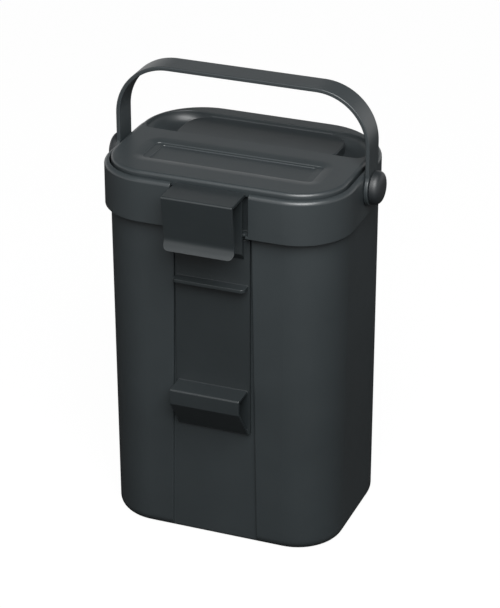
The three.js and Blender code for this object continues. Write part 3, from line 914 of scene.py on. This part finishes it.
def ramp(tree, value, start, end, low=0, high=1):
    """A socket that goes from low to high while the value goes from start to end, and stays there beyond."""
    limits = {"From Min": start, "From Max": end, "To Min": low, "To Max": high}
    return node(tree, "ShaderNodeMapRange", {"Value": value, **limits}).outputs["Result"]


def rays(tree, *kinds):
    """A socket that is 1 for a ray of any of these kinds and 0 for any other."""
    paths = node(tree, "ShaderNodeLightPath")
    seen = paths.outputs[kinds[0]]
    for kind in kinds[1:]:
        seen = calculated(tree, "MAXIMUM", seen, paths.outputs[kind])
    return seen


def plastic(name, colour, roughness, grain):
    """Moulded polypropylene: slight changes of tone and of sheen, and a fine grain."""
    material = bpy.data.materials.new(name)
    material.use_nodes = True
    tree = material.node_tree
    place = node(tree, "ShaderNodeTexCoord").outputs["Object"]

    def noise(settings):
        return node(tree, "ShaderNodeTexNoise", {"Vector": place, **settings}).outputs["Fac"]

    tones = node(tree, "ShaderNodeValToRGB", {"Fac": noise(TONE_NOISE)})
    for number, (position, factor) in enumerate(zip(TONE_STOPS, TONE_FACTORS)):
        stop = tones.color_ramp.elements[number]
        stop.position = position
        stop.color = (*[part * factor for part in colour], 1)
    sheen = ramp(tree, noise(SHEEN_NOISE), 0, 1, roughness - SHEEN_SPREAD, roughness + SHEEN_SPREAD)
    bump = node(tree, "ShaderNodeBump", {
        "Height": noise(GRAIN_NOISE), "Strength": grain, "Distance": GRAIN_DEPTH * MM,
    })
    feed(tree, tree.nodes["Principled BSDF"], {
        "Base Color": tones.outputs["Color"],
        "Roughness": sheen,
        "Normal": bump.outputs["Normal"],
        "IOR": PLASTIC_IOR,
        "Specular IOR Level": PLASTIC_SPECULAR,
    })
    return material


def make_floor():
    """A plain floor that keeps a faint shadow of the bin and is seen as white.

    It sends little light up to the bin, as a studio table does whose backdrop starts further off.
    """
    mesh = bpy.data.meshes.new("floor")
    half = FLOOR_HALF
    corners = [(-half, -half, 0), (half, -half, 0), (half, half, 0), (-half, half, 0)]
    mesh.from_pydata(corners, [], [(0, 1, 2, 3)])
    made = bpy.data.objects.new("floor", mesh)
    bpy.context.scene.collection.objects.link(made)
    material = bpy.data.materials.new("pale_floor")
    material.use_nodes = True
    tree = material.node_tree
    shader = tree.nodes["Principled BSDF"]
    feed(tree, shader, {"Base Color": FLOOR_COLOUR, "Roughness": FLOOR_ROUGHNESS, "Specular IOR Level": 0})
    position = node(tree, "ShaderNodeNewGeometry").outputs["Position"]
    away = node(tree, "ShaderNodeVectorMath", {0: position}, "LENGTH").outputs["Value"]
    far = ramp(tree, away, FLOOR_DIM_RADIUS, FLOOR_BRIGHT_RADIUS)
    mirrored = calculated(tree, "MULTIPLY", rays(tree, "Is Glossy Ray"), far)
    seen = calculated(tree, "MAXIMUM", rays(tree, "Is Camera Ray", "Is Transmission Ray"), mirrored)
    glow = node(tree, "ShaderNodeEmission", {"Strength": calculated(tree, "MULTIPLY", seen, FLOOR_LIFT)})
    both = node(tree, "ShaderNodeAddShader", {0: shader.outputs["BSDF"], 1: glow.outputs["Emission"]})
    feed(tree, tree.nodes["Material Output"], {"Surface": both.outputs["Shader"]})
    mesh.materials.append(material)


def make_world():
    """A soft studio, brighter in front of the bin than behind, with a plain, nearly white backdrop.

    The camera sees the backdrop all round. Reflections see it near the horizon, and the studio above it.
    """
    world = bpy.data.worlds.new("studio")
    bpy.context.scene.world = world
    world.use_nodes = True
    tree = world.node_tree
    tree.nodes.clear()
    generated = node(tree, "ShaderNodeTexCoord").outputs["Generated"]
    direction = node(tree, "ShaderNodeSeparateXYZ", {"Vector": generated})
    studio = ramp(tree, direction.outputs["Y"], STUDIO_FRONT_Y, STUDIO_BACK_Y, STUDIO_FRONT, STUDIO_BACK)
    low = ramp(tree, direction.outputs["Z"], BACKDROP_TOP, BACKDROP_FADE, 1, 0)
    mirrored = calculated(tree, "MULTIPLY", rays(tree, "Is Glossy Ray", "Is Transmission Ray"), low)
    backdrop_share = calculated(tree, "MAXIMUM", rays(tree, "Is Camera Ray"), mirrored)
    soft = node(tree, "ShaderNodeBackground", {"Strength": studio}).outputs["Background"]
    backdrop = node(tree, "ShaderNodeBackground", {"Strength": 1}).outputs["Background"]
    mix = node(tree, "ShaderNodeMixShader", {"Fac": backdrop_share, 1: soft, 2: backdrop})
    node(tree, "ShaderNodeOutputWorld", {"Surface": mix.outputs["Shader"]})


def place_around(name, data, target, azimuth, elevation, distance):
    """Sets up a lamp or a camera that looks at a target.

    Azimuth and elevation are in degrees; azimuth 0 is in front of the bin and 90 on its right.
    """
    turn, rise = math.radians(azimuth), math.radians(elevation)
    back = Vector((math.sin(turn) * math.cos(rise), -math.cos(turn) * math.cos(rise), math.sin(rise)))
    made = bpy.data.objects.new(name, data)
    made.location = target + back * distance
    made.rotation_mode = "QUATERNION"
    made.rotation_quaternion = (-back).to_track_quat("-Z", "Y")
    bpy.context.scene.collection.objects.link(made)
    return made


def make_lamp():
    """One large round soft lamp, in front of the bin, to its right and above."""
    data = bpy.data.lights.new("key", "AREA")
    data.shape = "DISK"
    data.size = LAMP_WIDTH
    data.energy = LAMP_POWER
    place_around("key", data, Vector((0, 0, LAMP_AIM_Z)), LAMP_AZIMUTH, LAMP_ELEVATION, LAMP_DISTANCE)


def make_camera():
    """The camera that the photograph was fitted with."""
    data = bpy.data.cameras.new("camera")
    data.sensor_width = SENSOR
    data.lens = FOCAL_PIXELS / IMAGE_HEIGHT * SENSOR
    data.shift_y = HORIZON_OFFSET_PIXELS / IMAGE_HEIGHT
    data.clip_start = CLIP_START
    data.clip_end = CLIP_END
    target = Vector(CAMERA_TARGET) * MM
    made = place_around("camera", data, target, CAMERA_AZIMUTH, CAMERA_ELEVATION, CAMERA_DISTANCE)
    bpy.context.scene.camera = made
    bpy.context.scene.view_settings.view_transform = "Standard"


moulded = plastic("moulded_polypropylene", MOULDED_COLOUR, MOULDED_ROUGHNESS, COARSE_GRAIN)
handle_plastic = plastic("handle_polypropylene", MOULDED_COLOUR, MOULDED_ROUGHNESS, FINE_GRAIN)
# The pins are of the handle's grey plastic; their darker colour is painted shade.
pin_plastic_painted_shade = plastic("pin_polypropylene_painted_shade", PIN_SHADED_COLOUR, PIN_ROUGHNESS, FINE_GRAIN)
bracket_plastic = plastic("bracket_plastic", BRACKET_COLOUR, BRACKET_ROUGHNESS, COARSE_GRAIN)

pieces = [
    (make_bucket(), "bucket", "bucket", "moulded_grey", moulded),
    (make_collar(), "collar", "collar", "moulded_grey", moulded),
    (make_lid(), "lid", "lid", "moulded_grey", moulded),
    (make_handle(), "handle", "handle", "handle_grey", handle_plastic),
    (make_pin("left_pin", -1), "left_pivot_pin", "collar", "handle_grey", pin_plastic_painted_shade),
    (make_pin("right_pin", 1), "right_pivot_pin", "collar", "handle_grey", pin_plastic_painted_shade),
    (make_bracket(), "hanging_bracket", "bracket", "bracket_grey", bracket_plastic),
]
for piece, node_name, body, slot, material in pieces:
    shade(piece)
    piece.data.materials.clear()
    piece.data.materials.append(material)
    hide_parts(node_name)
    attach(piece, body)

make_floor()
make_world()
make_lamp()
make_camera()
